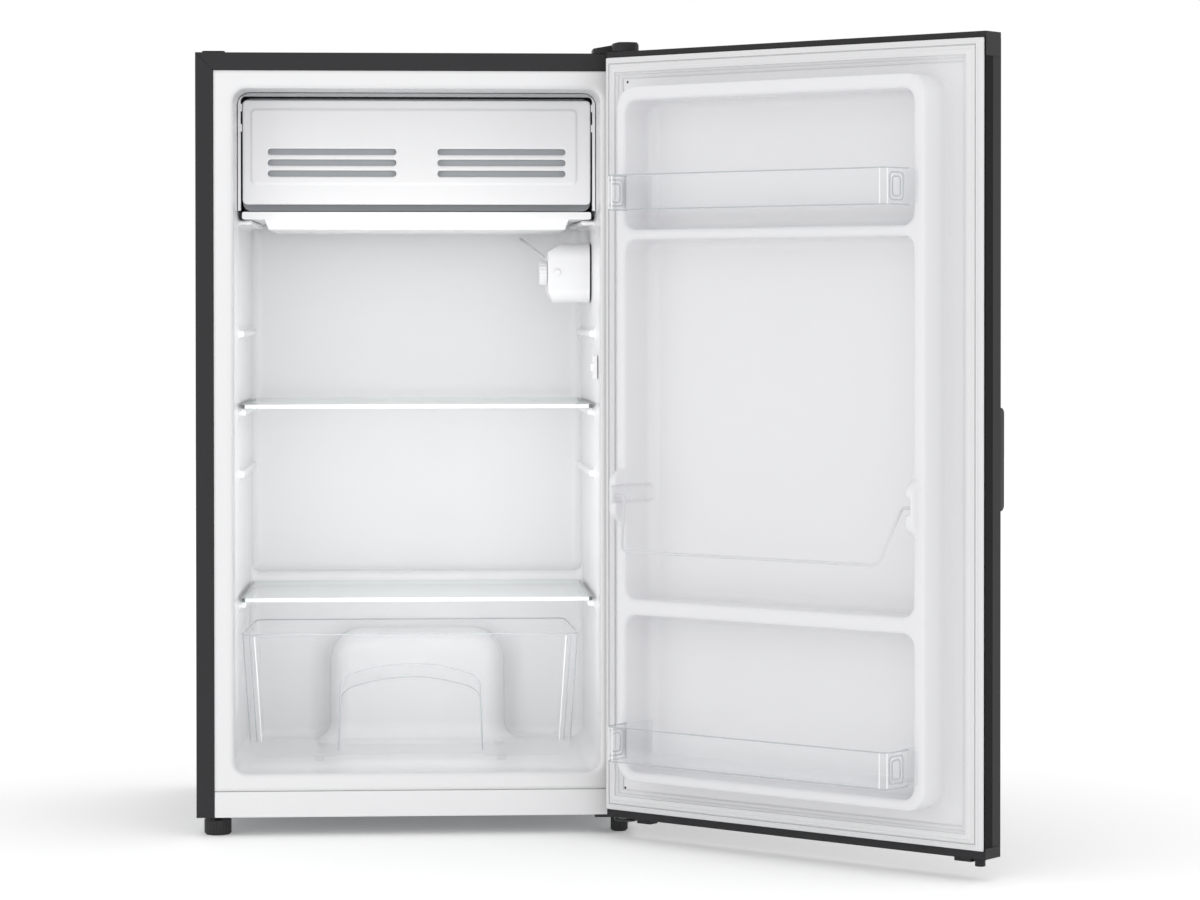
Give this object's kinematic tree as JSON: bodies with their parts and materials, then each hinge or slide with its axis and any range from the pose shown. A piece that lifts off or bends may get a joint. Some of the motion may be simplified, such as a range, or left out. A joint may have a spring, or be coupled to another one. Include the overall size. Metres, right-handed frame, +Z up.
{
  "type": "mini fridge",
  "caption": "Compact refrigerator with a right-hinged door, freezer box behind a flap, glass shelves, clear crisper drawer and door racks.",
  "frame": {"origin": "on the floor, under the middle of the cabinet's front face", "axes": "+X to the right as seen from the front, +Y to the back, +Z up"},
  "size_m": [0.8184, 0.7663, 0.8471],
  "materials": {
    "dark_steel": "satin dark grey paint",
    "white_plastic": "smooth white polystyrene",
    "white_matte": "fine matte white plastic",
    "dark_plastic": "fine matte dark grey plastic",
    "black_plastic": "matte black plastic",
    "galvanised": "plain zinc",
    "foam": "cream polyurethane foam",
    "black_paint": "gloss black paint",
    "rubber_black": "matte",
    "copper": "drawn copper",
    "aluminium": "plain roll-bond sheet",
    "glass": "clear tempered glass",
    "clear_plastic": "clear polystyrene",
    "lamp_glass": "frosted",
    "gasket": "soft white vinyl",
    "wire": "plated wire",
    "foot_plastic": "ribbed dark plastic"
  },
  "bodies": {
    "cabinet": {"outer_shell": "dark_steel", "bottom_rail": "white_plastic", "inner_liner": "white_plastic", "insulation": "foam", "base_pan": "galvanised", "back_panel": "galvanised", "back_panel_screws": "galvanised", "compressor_bay": "galvanised", "compressor_base": "galvanised", "compressor": "black_paint", "compressor_grommets": "rubber_black", "compressor_bolts": "galvanised", "relay_cover": "black_plastic", "filter_dryer": "copper", "discharge_tube": "copper", "suction_tube": "copper", "condenser_tube": "galvanised", "evaporating_pan": "black_plastic", "cord_gland": "black_plastic", "evaporator": "aluminium", "control_housing": "white_matte", "thermostat": "white_matte", "lamp": "lamp_glass", "housing_screw": "white_matte", "sensor_tube": "white_matte", "switch_housing": "white_matte", "freezer_frame": "white_plastic", "top_hinge_bracket": "galvanised", "top_hinge_screws": "galvanised", "top_hinge_cover": "dark_plastic", "hinge_hole_cap": "dark_plastic", "bottom_hinge_bracket": "black_paint", "bottom_hinge_screws": "galvanised", "rear_feet": "foot_plastic"},
    "door": {"door_skin": "dark_steel", "door_side_trims": "dark_plastic", "door_top_cap": "dark_plastic", "door_bottom_cap": "dark_plastic", "door_bushes": "white_matte", "door_stop_plug": "dark_plastic", "door_liner": "white_plastic", "door_foam": "foam", "door_gasket": "gasket", "door_handle": "black_plastic", "handle_screws": "galvanised"},
    "rack_top": {"rack_top": "clear_plastic"},
    "rack_bottom": {"rack_bottom": "clear_plastic"},
    "bottle_wire": {"bottle_wire": "wire"},
    "drip_tray": {"drip_tray": "white_plastic"},
    "upper_shelf": {"upper_shelf": "glass"},
    "crisper_cover": {"crisper_cover": "glass"},
    "crisper_drawer": {"crisper_drawer": "clear_plastic"},
    "thermostat_knob": {"thermostat_knob": "white_matte"},
    "switch_button": {"switch_button": "white_matte"},
    "front_foot_left": {"front_foot_left": "foot_plastic"},
    "front_foot_right": {"front_foot_right": "foot_plastic"},
    "freezer_flap": {"freezer_flap": "white_plastic", "flap_back_sheet": "aluminium"}
  },
  "joints": [
    {"name": "door_hinge", "type": "hinge", "parent": "cabinet", "child": "door", "pos_m": [0.222, -0.024, 0], "axis": [0, 0, 1], "range_deg": [-138.5, 6.5]},
    {"name": "flap_hinge", "type": "hinge", "parent": "cabinet", "child": "freezer_flap", "pos_m": [0, 0.081, 0.783], "axis": [-1, 0, 0], "range_deg": [0, 92]},
    {"name": "drip_tray_slide", "type": "slide", "parent": "cabinet", "child": "drip_tray", "axis": [0, -1, 0], "range_m": [0, 0.2]},
    {"name": "upper_shelf_slide", "type": "slide", "parent": "cabinet", "child": "upper_shelf", "axis": [0, -1, 0], "range_m": [0, 0.2]},
    {"name": "crisper_cover_slide", "type": "slide", "parent": "cabinet", "child": "crisper_cover", "axis": [0, -1, 0], "range_m": [0, 0.16]},
    {"name": "drawer_slide", "type": "slide", "parent": "cabinet", "child": "crisper_drawer", "axis": [0, -1, 0], "range_m": [0, 0.15]},
    {"name": "knob_turn", "type": "hinge", "parent": "cabinet", "child": "thermostat_knob", "pos_m": [0.14, 0.182, 0.604], "axis": [-1, 0, 0], "range_deg": [0, 280]},
    {"name": "switch_press", "type": "slide", "parent": "cabinet", "child": "switch_button", "axis": [1, 0, 0], "range_m": [0, 0.002], "stiffness_N_per_m": 150},
    {"name": "left_foot_turn", "type": "hinge", "parent": "cabinet", "child": "front_foot_left", "pos_m": [-0.2145, 0.025, 0], "axis": [0, 0, 1], "range_deg": [0, 1080]},
    {"name": "right_foot_turn", "type": "hinge", "parent": "cabinet", "child": "front_foot_right", "pos_m": [0.2175, 0.025, 0], "axis": [0, 0, 1], "range_deg": [0, 1080]},
    {"name": "rack_top_lift", "type": "slide", "parent": "door", "child": "rack_top", "axis": [0, 0, 1], "range_m": [0, 0.04]},
    {"name": "rack_bottom_lift", "type": "slide", "parent": "door", "child": "rack_bottom", "axis": [0, 0, 1], "range_m": [0, 0.04]},
    {"name": "bottle_wire_swing", "type": "hinge", "parent": "door", "child": "bottle_wire", "pos_m": [0.34487, -0.22016, 0.369], "axis": [-0.749, 0.6626, 0], "range_deg": [-21, 85]}
  ]
}
